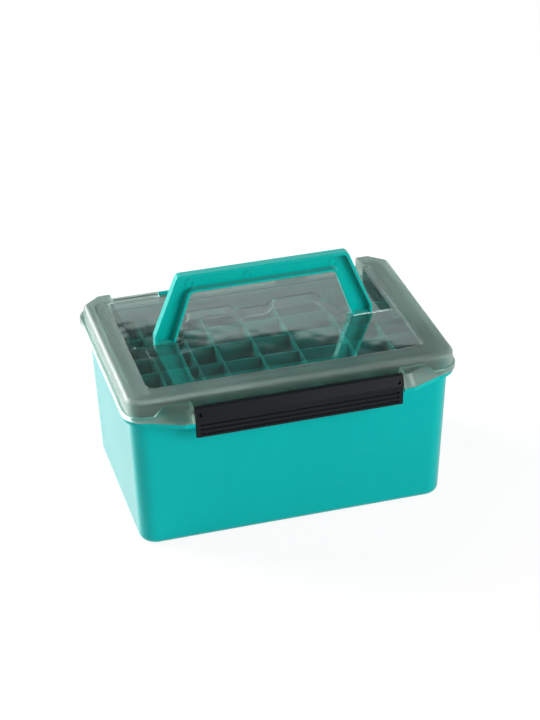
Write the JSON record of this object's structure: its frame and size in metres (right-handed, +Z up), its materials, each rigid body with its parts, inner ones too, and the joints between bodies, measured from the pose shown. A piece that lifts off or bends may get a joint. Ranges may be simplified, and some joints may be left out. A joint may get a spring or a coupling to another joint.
{
  "type": "lure box",
  "caption": "Deep moulded lure box with a hinged smoky clear lid, full-width front latch, fold-down carrying handle and a grid of lift-out dividers.",
  "frame": {"origin": "centre of the case's flat underside, on the surface it stands on", "axes": "+X to the right along the hinge, +Y from the latch to the hinge, +Z up"},
  "size_m": [0.2518, 0.1914, 0.1794],
  "materials": {
    "case_plastic": "satin moulded polypropylene, turquoise",
    "lid_plastic": "smoky clear moulding, frosted frame and polished window",
    "handle_plastic": "satin moulded polypropylene, turquoise",
    "latch_plastic": "satin black moulding, ribbed grip",
    "pin_steel": "drawn steel rod",
    "divider_plastic": "translucent green-grey sheet moulding"
  },
  "bodies": {
    "case_body": {"case": "case_plastic", "hinge_pin": "pin_steel", "cross_divider_1": "divider_plastic", "cross_divider_2": "divider_plastic", "cross_divider_3": "divider_plastic", "cross_divider_4": "divider_plastic", "cross_divider_5": "divider_plastic", "cross_divider_6": "divider_plastic", "cross_divider_7": "divider_plastic", "long_divider_1": "divider_plastic", "long_divider_2": "divider_plastic", "long_divider_3": "divider_plastic", "long_divider_4": "divider_plastic"},
    "lid_body": {"lid": "lid_plastic"},
    "latch_body": {"front_latch": "latch_plastic"},
    "handle_body": {"handle": "handle_plastic"}
  },
  "joints": [
    {"name": "lid_hinge", "type": "hinge", "parent": "case_body", "child": "lid_body", "pos_m": [0, 0.0909, 0.1155], "axis": [-1, 0, 0], "range_deg": [0, 110]},
    {"name": "latch_swing", "type": "hinge", "parent": "lid_body", "child": "latch_body", "pos_m": [0, -0.0909, 0.1185], "axis": [-1, 0, 0], "range_deg": [0, 105]},
    {"name": "handle_fold", "type": "hinge", "parent": "lid_body", "child": "handle_body", "pos_m": [0, 0.001, 0.1225], "axis": [-1, 0, 0], "range_deg": [0, 90]}
  ]
}
